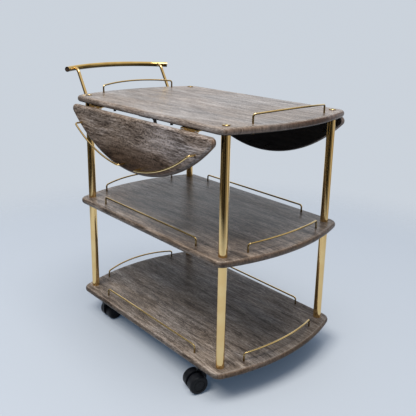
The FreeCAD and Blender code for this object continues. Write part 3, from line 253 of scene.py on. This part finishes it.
def buildWoodGroup(look):
    group, given, result = newGroup("woodGrain", {
        "Dark": (0.05, 0.035, 0.025, 1),
        "Mid": (0.21, 0.16, 0.125, 1),
        "Light": (0.38, 0.32, 0.27, 1),
        "Grey": 0.5,
        "Fleck": 0.4,
        "Fineness": 1.0,
        "Contrast": 1.0,
        "Rim": 0.0,
        "LipHighlight": 0.0,
        "Band": 0.0,
    })
    sized = addNode(group, "ShaderNodeVectorMath", {"operation": "SCALE"})
    group.links.new(coordinate(group, "Object"), sized.inputs[0])
    group.links.new(given["Fineness"], sized.inputs["Scale"])
    place = sized.outputs[0]
    # the grain lines wander a few millimetres to the side
    wander = addNode(group, "ShaderNodeTexNoise", Scale=1.0, Detail=look["wander"]["detail"])
    group.links.new(vectorMath(group, "MULTIPLY", place, look["wander"]["scale"]), wander.inputs["Vector"])
    centred = vectorMath(group, "SUBTRACT", wander.outputs["Color"], 3 * (look["middle"],))
    grain = vectorMath(group, "ADD", place, vectorMath(group, "MULTIPLY", centred, look["wander"]["reach"]))
    # tone: shares of broad, streaky and fine noise
    broad = noise(group, grain, look["broad"])
    tone = times(group, broad, look["broad"]["share"])
    for key in ("streak", "fine"):
        tone = plus(group, tone, times(group, noise(group, grain, look[key]), look[key]["share"]))
    tone = times(group, minus(group, tone, look["middle"]), given["Contrast"])
    tone = plus(group, tone, look["middle"])
    # the edge band on the ends has short upright lines
    facing = axesOf(group, "Normal")
    onEnd = ramp(group, valueMath(group, "ABSOLUTE", facing["X"]), *look["endSpan"])
    tone = mixValue(group, onEnd, tone, layer(group, place, look["band"]))
    colour = mixColour(group, ramp(group, tone, *look["midSpan"]), given["Dark"], given["Mid"])
    colour = mixColour(group, ramp(group, tone, *look["lightSpan"]), colour, given["Light"])
    # contour lines of a slow field give the pointed arches of flat-sawn oak
    field = times(group, noise(group, grain, look["arches"]), look["arches"]["lines"])
    arches = ramp(group, valueMath(group, "SINE", field), *look["arches"]["span"])
    arches = times(group, arches, ramp(group, broad, *look["archPatches"]))
    colour = mixColour(group, times(group, arches, look["arches"]["strength"]), colour, given["Dark"])
    # grey washed patches, brown between them
    wash = times(group, layer(group, place, look["wash"]), given["Grey"])
    greyed = brighten(group, colour, look["wash"]["value"], look["wash"]["saturation"])
    colour = mixColour(group, wash, colour, greyed)
    # slow change from lighter to darker wood
    colour = brighten(group, colour, layer(group, coordinate(group, "Object"), look["slow"]))
    # dark heart streaks, and short dark pores along the grain
    heart = layer(group, grain, look["heart"])
    colour = mixColour(group, times(group, heart, look["heart"]["strength"]), colour, given["Dark"])
    pores = layer(group, grain, look["pores"])
    colour = mixColour(group, times(group, pores, look["pores"]["strength"]), colour, given["Dark"])
    # pale ray flecks that cross the grain in patches
    flecks = times(group, layer(group, place, look["flecks"]), layer(group, place, look["fleckPatches"]))
    colour = mixColour(group, times(group, flecks, given["Fleck"]), colour, given["Light"])
    # a darker edge band under a paler lip, which is a painted highlight along the rounded edge
    upward = valueMath(group, "ABSOLUTE", facing["Z"])
    onRim = times(group, ramp(group, upward, *look["rimSpan"], 1.0, 0.0), given["Rim"])
    colour = brighten(group, colour, minus(group, 1.0, onRim))
    onLipHighlight = times(group, ramp(group, upward, *look["lipStart"]), ramp(group, upward, *look["lipEnd"], 1.0, 0.0))
    colour = mixColour(group, times(group, onLipHighlight, given["LipHighlight"]), colour, given["Light"])
    # the edge band on the ends is browner, and can darken toward the rear
    colour = mixColour(group, onEnd, colour, look["endTint"], "MULTIPLY")
    rearward = ramp(group, axesOf(group, "Object")["Y"], *look["rearSpan"])
    onBand = times(group, times(group, onEnd, rearward), given["Band"])
    colour = mixColour(group, onBand, colour, look["rearTint"], "MULTIPLY")
    group.links.new(colour, result["Color"])
    group.links.new(ramp(group, tone, *look["roughSpan"], *look["roughTone"]), result["Rough"])
    group.links.new(minus(group, tone, times(group, pores, look["pores"]["depth"])), result["Height"])
    return group


woodGrain = buildWoodGroup(grainPattern)
grainLook = {
    "top": {
        "Dark": (0.030, 0.019, 0.012, 1), "Mid": (0.152, 0.112, 0.083, 1), "Light": (0.310, 0.250, 0.200, 1),
        "Grey": 0.60, "Fleck": 0.15, "Fineness": 1.7, "Contrast": 0.95, "Rim": 0.05, "LipHighlight": 0.20, "Band": 1.0,
    },
    "middle": {
        "Dark": (0.018, 0.011, 0.007, 1), "Mid": (0.134, 0.092, 0.062, 1), "Light": (0.310, 0.234, 0.172, 1),
        "Grey": 0.34, "Fleck": 0.10, "Fineness": 2.0, "Contrast": 1.25, "Rim": 0.40, "LipHighlight": 0.24,
    },
    "bottom": {
        "Dark": (0.029, 0.019, 0.013, 1), "Mid": (0.150, 0.112, 0.082, 1), "Light": (0.340, 0.276, 0.216, 1),
        "Grey": 0.38, "Fleck": 0.10, "Fineness": 2.0, "Contrast": 1.05, "Rim": 0.40, "LipHighlight": 0.24,
    },
    "leaf": {
        "Dark": (0.017, 0.010, 0.006, 1), "Mid": (0.118, 0.080, 0.053, 1), "Light": (0.290, 0.222, 0.168, 1),
        "Grey": 0.40, "Fleck": 0.60, "Fineness": 1.4, "Contrast": 1.15,
    },
}
# the hidden face of each board is at a level on an axis, and faces that way along it
boardLook = {
    "top": {"grain": "top", "axis": "Z", "level": 0.682, "way": -1, "shine": 0.45, "seam": True},
    "middle": {"grain": "middle", "axis": "Z", "level": 0.369, "way": -1, "shine": 0.40},
    "bottom": {"grain": "bottom", "axis": "Z", "level": 0.072, "way": -1, "shine": 0.08},
    "frontLeaf": {"grain": "leaf", "axis": "Y", "level": -0.2261, "way": 1, "shine": 0.30, "leafLightAndShade": True},
    "rearLeaf": {"grain": "leaf", "axis": "Y", "level": 0.2261, "way": -1, "shine": 0.30, "leafLightAndShade": True},
}
woodLook = {
    "backingDark": (0.0090, 0.0062, 0.0042),  # black foil on the hidden faces
    "backingLight": (0.0180, 0.0126, 0.0088),
    "backingSpan": (0.31, 0.37),
    "backingRough": 0.8,
    "backingDepth": 0.0022,  # how far the foil laps round the edge
    "backingBlur": 0.0004,
    "bump": 0.15,
    "bumpDepth": 0.0004,
    "paintedLightRight": (1.28, 1.36, 1.50),  # painted light: a leaf is made paler toward its right end
    "paintedLightRightSpan": (-0.02, 0.22),  # X in metres
    "paintedShadeLow": (0.26, 0.20, 0.155),  # painted shade: share of the colour left at a leaf's free lower edge
    "paintedShadeLowSpan": (0.550, 0.655),  # Z in metres
    "seam": 0.2125,  # where the two ends of the top board's edge band meet
    "seamWidth": 0.0009,
    "seamCore": 0.4,  # share of the width that is fully dark
    "seamStrength": 0.8,
    "seamEdge": (-0.2236, -0.2224),  # the seam shows only on the front edge
}


def makeWood(name, board):
    grainValues = grainLook[board["grain"]]
    material, tree, shader = newMaterial(name)
    shader.inputs["Specular IOR Level"].default_value = board["shine"]
    grain = placeGroup(tree, woodGrain, grainValues)
    spot = axesOf(tree, "Object")
    colour = grain["Color"]
    # painted light toward a leaf's right end and painted shade toward its free lower edge
    if board.get("leafLightAndShade"):
        right = ramp(tree, spot["X"], *woodLook["paintedLightRightSpan"])
        colour = mixColour(tree, right, colour, woodLook["paintedLightRight"], "MULTIPLY")
        low = ramp(tree, spot["Z"], *woodLook["paintedShadeLowSpan"], 1.0, 0.0)
        colour = mixColour(tree, low, colour, woodLook["paintedShadeLow"], "MULTIPLY")
    if board.get("seam"):
        away = valueMath(tree, "ABSOLUTE", minus(tree, spot["X"], woodLook["seam"]))
        width = woodLook["seamWidth"]
        onLine = ramp(tree, away, woodLook["seamCore"] * width, width, woodLook["seamStrength"], 0.0)
        onLine = times(tree, onLine, ramp(tree, spot["Y"], *woodLook["seamEdge"], 1.0, 0.0))
        colour = mixColour(tree, onLine, colour, grainValues["Dark"])
    start, blur = board["way"] * board["level"] - woodLook["backingDepth"], woodLook["backingBlur"]
    backing = ramp(tree, times(tree, spot[board["axis"]], board["way"]), start - blur, start + blur)
    mottle = ramp(tree, grain["Rough"], *woodLook["backingSpan"])
    foil = mixColour(tree, mottle, woodLook["backingLight"], woodLook["backingDark"])
    tree.links.new(mixColour(tree, backing, colour, foil), shader.inputs["Base Color"])
    rough = mixValue(tree, backing, grain["Rough"], woodLook["backingRough"])
    tree.links.new(rough, shader.inputs["Roughness"])
    addBump(tree, shader, grain["Height"], woodLook["bump"], woodLook["bumpDepth"])
    return material


# brass: polished plate with faint clouding and hairlines
brassPattern = {
    "cloud": {"scale": (24, 24, 24), "detail": 3.0, "span": (0.3, 0.7), "rough": 0.05},
    "hairs": {"scale": (900, 900, 60), "detail": 2.0, "rough": 0.03},
}


def buildBrassGroup(look):
    group, given, result = newGroup("brassPolish", {
        "Bright": (0.86, 0.66, 0.30, 1),
        "Deep": (0.70, 0.47, 0.16, 1),
        "Polish": 0.14,
    })
    place = coordinate(group, "Object")
    cloud = noise(group, place, look["cloud"])
    hairs = noise(group, place, look["hairs"])
    colour = mixColour(group, ramp(group, cloud, *look["cloud"]["span"]), given["Deep"], given["Bright"])
    rough = plus(group, given["Polish"], times(group, cloud, look["cloud"]["rough"]))
    rough = plus(group, rough, times(group, hairs, look["hairs"]["rough"]))
    group.links.new(colour, result["Color"])
    group.links.new(rough, result["Rough"])
    group.links.new(hairs, result["Height"])
    return group


brassPolish = buildBrassGroup(brassPattern)
brassLook = {
    "tube": {"Bright": (0.88, 0.65, 0.31, 1), "Deep": (0.82, 0.57, 0.25, 1), "Polish": 0.02},
    "handle": {"Bright": (0.88, 0.63, 0.24, 1), "Deep": (0.74, 0.49, 0.16, 1), "Polish": 0.03},
    "wire": {"Bright": (0.90, 0.69, 0.34, 1), "Deep": (0.80, 0.58, 0.26, 1), "Polish": 0.05},
    "fitting": {"Bright": (0.72, 0.51, 0.21, 1), "Deep": (0.58, 0.38, 0.13, 1), "Polish": 0.18},
    "cap": {"Bright": (0.52, 0.37, 0.15, 1), "Deep": (0.40, 0.27, 0.09, 1), "Polish": 0.12},
    "bump": 0.04,
    "bumpDepth": 0.0002,
    # one dark colour blackens the leaf rail tails and is painted shade on rail undersides and in the cap sockets
    "stainAndShade": (0.020, 0.013, 0.008),
    "stainAndShadeBlur": 0.0003,
    "undersideShade": 0.92,
    "undersideShadeSpan": (-0.35, 0.58),  # upward part of the normal, from full painted shade to none
    "tailLevel": 0.2262,  # leaf rail tails behind this Y are blackened
    "capRadius": 0.0095,
    "socketRadius": 0.0041,
}


def makeBrass(name, look, darkened=None):
    material, tree, shader = newMaterial(name, Metallic=1.0)
    polish = placeGroup(tree, brassPolish, look)
    colour = polish["Color"]
    if darkened:
        colour = mixColour(tree, darkened(tree), colour, brassLook["stainAndShade"])
    tree.links.new(colour, shader.inputs["Base Color"])
    tree.links.new(polish["Rough"], shader.inputs["Roughness"])
    addBump(tree, shader, polish["Height"], brassLook["bump"], brassLook["bumpDepth"])
    return material


# 1 below a limit and 0 above it, with a narrow blur
def stainAndShadeBelow(tree, value, limit):
    return ramp(tree, value, limit - brassLook["stainAndShadeBlur"], limit + brassLook["stainAndShadeBlur"], 1.0, 0.0)


# painted shade on the underside of a rail or the handle bar
def underside(tree):
    return ramp(tree, axesOf(tree, "Normal")["Z"], *brassLook["undersideShadeSpan"], brassLook["undersideShade"], 0.0)


# the rails' threaded tails on the inner side of a leaf
def railTails(tree):
    across = valueMath(tree, "ABSOLUTE", axesOf(tree, "Object")["Y"])
    return stainAndShadeBelow(tree, across, brassLook["tailLevel"])


# painted shade in the hex sockets of the four caps, by distance from the nearest post axis
def capSocketShade(tree):
    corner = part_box("post_screw_caps")[1]
    radius = brassLook["capRadius"]
    spot = vectorMath(tree, "ABSOLUTE", coordinate(tree, "Object"))
    offset = vectorMath(tree, "SUBTRACT", spot, (corner.x - radius, corner.y - radius, 0.0))
    reach = vectorMath(tree, "LENGTH", vectorMath(tree, "MULTIPLY", offset, (1, 1, 0)))
    return stainAndShadeBelow(tree, reach, brassLook["socketRadius"])


# black mouldings, rubber and painted steel share one speckled surface
mouldedPattern = {
    "cloud": {"scale": (45, 45, 45), "detail": 3.0, "span": (0.45, 0.8), "rough": 0.16},
    "speckleDetail": 2.0,
    "dust": (0.11, 0.11, 0.115),
}


def buildMouldedGroup(look):
    group, given, result = newGroup("mouldedBlack", {
        "Tint": (0.02, 0.02, 0.022, 1),
        "Sheen": 0.35,
        "Dust": 0.2,
        "Grit": 900.0,
    })
    place = coordinate(group, "Object")
    speckle = addNode(group, "ShaderNodeTexNoise", Detail=look["speckleDetail"])
    group.links.new(place, speckle.inputs["Vector"])
    group.links.new(given["Grit"], speckle.inputs["Scale"])
    cloud = noise(group, place, look["cloud"])
    dust = times(group, ramp(group, cloud, *look["cloud"]["span"]), given["Dust"])
    rough = plus(group, given["Sheen"], times(group, cloud, look["cloud"]["rough"]))
    group.links.new(mixColour(group, dust, given["Tint"], look["dust"]), result["Color"])
    group.links.new(rough, result["Rough"])
    group.links.new(speckle.outputs[0], result["Height"])
    return group


mouldedBlack = buildMouldedGroup(mouldedPattern)
blackLook = {
    "casterBody": {"Tint": (0.006, 0.0065, 0.008, 1), "Sheen": 0.26, "Dust": 0.05, "Grit": 700.0},
    "casterWheel": {"Tint": (0.005, 0.0055, 0.007, 1), "Sheen": 0.36, "Dust": 0.06, "Grit": 900.0},
    "paintedSteel": {"Tint": (0.010, 0.010, 0.011, 1), "Sheen": 0.38, "Dust": 0.05, "Grit": 1500.0},
    "plug": {"Tint": (0.034, 0.019, 0.009, 1), "Sheen": 0.50, "Dust": 0.04, "Grit": 1200.0},
    "rubber": {"Tint": (0.009, 0.009, 0.009, 1), "Sheen": 0.68, "Dust": 0.12, "Grit": 1200.0},
    "bumpDepth": 0.0003,
}


def makeBlack(name, look, bump=0.08, shine=0.5):
    material, tree, shader = newMaterial(name)
    shader.inputs["Specular IOR Level"].default_value = shine
    surface = placeGroup(tree, mouldedBlack, look)
    tree.links.new(surface["Color"], shader.inputs["Base Color"])
    tree.links.new(surface["Rough"], shader.inputs["Roughness"])
    addBump(tree, shader, surface["Height"], bump, blackLook["bumpDepth"])
    return material


steelLook = {
    "zinc": (0.56, 0.55, 0.53),
    "caster": (0.50, 0.50, 0.52),
    "cloud": {"scale": (160, 160, 160), "detail": 3.0},
    "cloudShade": 0.7,
    "roughSpan": (0.2, 0.8),
    "roughTone": (0.26, 0.44),
}


def makeSteel(name, tint):
    material, tree, shader = newMaterial(name, Metallic=1.0)
    cloud = noise(tree, coordinate(tree, "Object"), steelLook["cloud"])
    shaded = [part * steelLook["cloudShade"] for part in tint]
    tree.links.new(mixColour(tree, cloud, shaded, tint), shader.inputs["Base Color"])
    rough = ramp(tree, cloud, *steelLook["roughSpan"], *steelLook["roughTone"])
    tree.links.new(rough, shader.inputs["Roughness"])
    return material


finishes = {
    "wood_top": makeWood("woodTop", boardLook["top"]),
    "wood_middle": makeWood("woodMiddle", boardLook["middle"]),
    "wood_bottom": makeWood("woodBottom", boardLook["bottom"]),
    "wood_front_leaf": makeWood("woodFrontLeaf", boardLook["frontLeaf"]),
    "wood_rear_leaf": makeWood("woodRearLeaf", boardLook["rearLeaf"]),
    "brass_tube": makeBrass("brassTube", brassLook["tube"]),
    # the handle bar and the shelf rails get painted shade on their undersides
    "brass_handle": makeBrass("brassHandle", brassLook["handle"], underside),
    "brass_wire": makeBrass("brassWire", brassLook["wire"], underside),
    "brass_leaf_wire": makeBrass("brassLeafWire", brassLook["wire"], railTails),
    "brass_fitting": makeBrass("brassFitting", brassLook["fitting"]),
    # the caps get painted shade in their hex sockets
    "brass_cap": makeBrass("brassCap", brassLook["cap"], capSocketShade),
    "steel_fastener": makeSteel("zincedSteel", steelLook["zinc"]),
    "caster_metal": makeSteel("casterSteel", steelLook["caster"]),
    "black_metal": makeBlack("blackSteel", blackLook["paintedSteel"], bump=0.05),
    "black_plug": makeBlack("brownPlug", blackLook["plug"]),
    "black_rubber": makeBlack("blackRubber", blackLook["rubber"]),
    "caster_plastic": makeBlack("casterBlack", blackLook["casterBody"], shine=0.2),
    "caster_wheel": makeBlack("wheelBlack", blackLook["casterWheel"], shine=0.2),
}
# nodes whose finish isn't simply their material slot's
ownFinish = {
    "top_shelf": "wood_top",
    "middle_shelf": "wood_middle",
    "bottom_shelf": "wood_bottom",
    "post_screw_caps": "brass_cap",
    "handle_bar": "brass_handle",
}
for side in ("front", "rear"):
    ownFinish[f"{side}_leaf"] = f"wood_{side}_leaf"
    ownFinish[f"{side}_leaf_rails"] = "brass_leaf_wire"
    ownFinish[f"{side}_leaf_rail_nuts"] = "black_metal"
    ownFinish[f"{side}_leaf_screws"] = "black_metal"
for part in frame["record"]["subparts"]:
    finish = finishes[ownFinish.get(part["node"], part["material_slot"])]
    for materialSlot in nodes[part["node"]].material_slots:
        materialSlot.material = finish
print("finishes on the CAD nodes:", len(finishes))


# faces of a grid whose last column joins its first
def gridFaces(rows, columns):
    index = np.arange(rows * columns).reshape(rows, columns)
    index = np.hstack([index, index[:, :1]])
    corners = [index[:-1, :-1], index[:-1, 1:], index[1:, 1:], index[1:, :-1]]
    return np.stack(corners, axis=-1).reshape(-1, 4)


# one smooth mesh from grids of points; doubled points at the poles are merged
def gridObject(name, grids, mergeDistance=1e-6):
    places, faces, start = [], [], 0
    for points in grids:
        rows, columns = points.shape[:2]
        places.append(points.reshape(-1, 3))
        faces.append(gridFaces(rows, columns) + start)
        start += rows * columns
    mesh = bpy.data.meshes.new(name)
    mesh.from_pydata(np.concatenate(places).tolist(), [], np.concatenate(faces).tolist())
    work = bmesh.new()
    work.from_mesh(mesh)
    bmesh.ops.remove_doubles(work, verts=work.verts, dist=mergeDistance)
    bmesh.ops.recalc_face_normals(work, faces=work.faces)
    work.to_mesh(mesh)
    work.free()
    mesh.polygons.foreach_set("use_smooth", np.full(len(mesh.polygons), True))
    piece = bpy.data.objects.new(name, mesh)
    scene.collection.objects.link(piece)
    return piece


# a hub cap in the dish of every wheel
hubLook = {
    # distance from the axle and height above the caster's middle plane along the cap's section, in metres
    "section": (
        (0.0000, 0.02720), (0.0025, 0.02718), (0.0045, 0.02710), (0.0052, 0.02695), (0.0058, 0.02662),
        (0.0064, 0.02668), (0.0072, 0.02700), (0.0086, 0.02700), (0.0100, 0.02697), (0.0114, 0.02692),
        (0.0128, 0.02680), (0.0135, 0.02650), (0.0138, 0.02600),
    ),
    "ribs": 10,
    "ribHeight": 0.0002,
    "ribZone": (0.0072, 0.0128),
    "steps": 120,
}


# the section turned about the axle, raised by ribs that follow the cosine of the turn inside the rib zone
def buildHubCaps(name, centre, axle, look):
    section = np.array(look["section"])
    angle = np.linspace(0.0, 2 * math.pi, look["steps"], endpoint=False)
    start, end = look["ribZone"]
    zone = np.clip((section[:, 0] - start) / (end - start), 0.0, 1.0)
    ribs = look["ribHeight"] * np.sin(math.pi * zone)[:, None] ** 2 * np.cos(look["ribs"] * angle)
    level = section[:, 1, None] + ribs
    up = np.array((0.0, 0.0, 1.0))
    side = np.cross(axle, up)
    spread = np.cos(angle)[:, None] * side + np.sin(angle)[:, None] * up
    flat = section[:, 0, None, None] * spread
    return gridObject(name, [centre + flat + way * level[:, :, None] * axle for way in (1, -1)])


rollPrefix = "caster_roll_"
for joint in frame["joints"]:
    if joint["name"].startswith(rollPrefix):
        corner = joint["name"].removeprefix(rollPrefix)
        hubCaps = buildHubCaps(f"hub_caps_{corner}", np.array(joint["pos_m"]), np.array(joint["axis"]), hubLook)
        hubCaps.data.materials.append(finishes["caster_plastic"])
        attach(hubCaps, joint["child"])
print("hub caps on the casters")


# floor: a pale paper disc that fades into the background
floorLook = {
    "paper": (0.373, 0.382, 0.385, 1),
    "glow": (0.018, 0.035, 0.060, 1),  # lifts the shadow on the paper to a pale blue
    "glowStrength": 1.0,
    "rough": 0.8,
    "shine": 0.1,
    "radius": 1.9,
    "rings": 16,
    "steps": 96,
    "fadeSpan": (1.05, 1.75),
}


# disc about Z: rings of rising radius
def buildFloor(look):
    radius = np.linspace(0.0, look["radius"], look["rings"])[:, None]
    angle = np.linspace(0.0, 2 * math.pi, look["steps"], endpoint=False)
    level = np.zeros((look["rings"], look["steps"]))
    points = np.stack([radius * np.cos(angle), radius * np.sin(angle), level], axis=-1)
    return gridObject("studioFloor", [points])


def makePaper(look):
    material, tree, shader = newMaterial("studioPaper", Roughness=look["rough"])
    shader.inputs["Base Color"].default_value = look["paper"]
    shader.inputs["Emission Color"].default_value = look["glow"]
    shader.inputs["Emission Strength"].default_value = look["glowStrength"]
    shader.inputs["Specular IOR Level"].default_value = look["shine"]
    reach = vectorMath(tree, "LENGTH", coordinate(tree, "Object"))
    tree.links.new(ramp(tree, reach, *look["fadeSpan"], 1.0, 0.0), shader.inputs["Alpha"])
    return material


floor = buildFloor(floorLook)
floor.data.materials.append(makePaper(floorLook))
print("floor laid")

# studio: even fill light, and in the brass a dark near room, a window, a bright far wall and a ceiling
# side points to the middle of each, span gives the cosines to it where it begins and is full
studioLook = {
    "backdrop": (0.597, 0.648, 0.712),
    "shade": (0.46, 0.53, 0.66),
    "fill": {"colour": (0.47, 0.56, 0.74), "side": (-0.75, -0.66, 0.0), "span": (-0.6, 0.7)},
    "sideWall": (0.15, 0.145, 0.13),
    "room": {"colour": (0.012, 0.011, 0.009), "side": (-0.30, -0.954, 0.0), "span": (-0.10, 0.15)},
    "streaks": {"scale": (8, 8, 8), "detail": 3.0, "span": (0.54, 0.60), "colour": (0.30, 0.275, 0.22)},
    "window": {"colour": (0.54, 0.51, 0.46), "side": (0.829, 0.559, 0.0), "span": (0.84, 0.95)},
    "farWall": {"colour": (0.86, 0.90, 0.96), "side": (-0.60, 0.80, 0.0), "span": (0.45, 0.95)},
    "ceiling": {"colour": (0.70, 0.67, 0.62), "side": (0.0, 0.0, 1.0), "span": (0.35, 0.80)},
}


def lightStudio(look):
    world = bpy.data.worlds.new("studioSky")
    scene.world = world
    world.use_nodes = True
    sky = world.node_tree
    direction = coordinate(sky, "Generated")
    toward = {}
    for key in ("fill", "room", "window", "farWall", "ceiling"):
        facing = vectorMath(sky, "DOT_PRODUCT", direction, look[key]["side"])
        toward[key] = ramp(sky, facing, *look[key]["span"])
    softLight = mixColour(sky, toward["fill"], look["shade"], look["fill"]["colour"])
    # upright streaks in the near room give the posts their lines
    level = vectorMath(sky, "NORMALIZE", vectorMath(sky, "MULTIPLY", direction, (1, 1, 0)))
    streaks = layer(sky, level, look["streaks"])
    nearRoom = mixColour(sky, streaks, look["room"]["colour"], look["streaks"]["colour"])
    mirrored = mixColour(sky, toward["room"], look["sideWall"], nearRoom)
    for key in ("window", "farWall", "ceiling"):
        mirrored = mixColour(sky, toward[key], mirrored, look[key]["colour"])
    ray = addNode(sky, "ShaderNodeLightPath").outputs
    seen = mixColour(sky, ray["Is Glossy Ray"], softLight, mirrored)
    seen = mixColour(sky, ray["Is Camera Ray"], seen, look["backdrop"])
    sky.links.new(seen, sky.nodes["Background"].inputs["Color"])


lightStudio(studioLook)

# the key lamp leaves the paper to a lamp of its own, which only the bottom board and the casters shade
lampLook = {
    "keyLamp": {
        "place": (0.0, -1.7, 3.4), "aim": (0, 0, 0.3), "size": 1.6, "power": 135, "mirrored": False,
        "paper": "EXCLUDE",
    },
    "topLamp": {
        "place": (0.9, -0.2, 4.2), "aim": (0, 0, 0.3), "size": 1.8, "power": 72, "mirrored": True,
    },
    "paperLamp": {
        "place": (0.5, -3.8, 6.4), "aim": (0, 0, 0), "size": 3.6, "power": 540, "mirrored": False,
        "paper": "INCLUDE", "shadedBy": ("bottom_shelf", "caster_"),
    },
}


def addLamp(name, look):
    data = bpy.data.lights.new(name, "AREA")
    data.shape = "SQUARE"
    data.size = look["size"]
    data.energy = look["power"]
    lamp = bpy.data.objects.new(name, data)
    lamp.location = look["place"]
    aim = Vector(look["aim"]) - Vector(look["place"])
    lamp.rotation_euler = aim.to_track_quat("-Z", "Y").to_euler()
    lamp.visible_glossy = look["mirrored"]
    scene.collection.objects.link(lamp)
    if "paper" in look:
        lit = bpy.data.collections.new(f"{name}Paper")
        lit.objects.link(floor)
        lit.collection_objects[0].light_linking.link_state = look["paper"]
        lamp.light_linking.receiver_collection = lit
    if "shadedBy" in look:
        shading = bpy.data.collections.new(f"{name}Shade")
        for nodeName, node in nodes.items():
            if nodeName.startswith(look["shadedBy"]):
                shading.objects.link(node)
        lamp.light_linking.blocker_collection = shading


for lampName, look in lampLook.items():
    addLamp(lampName, look)
scene.view_settings.view_transform = "Standard"
print("studio lit")
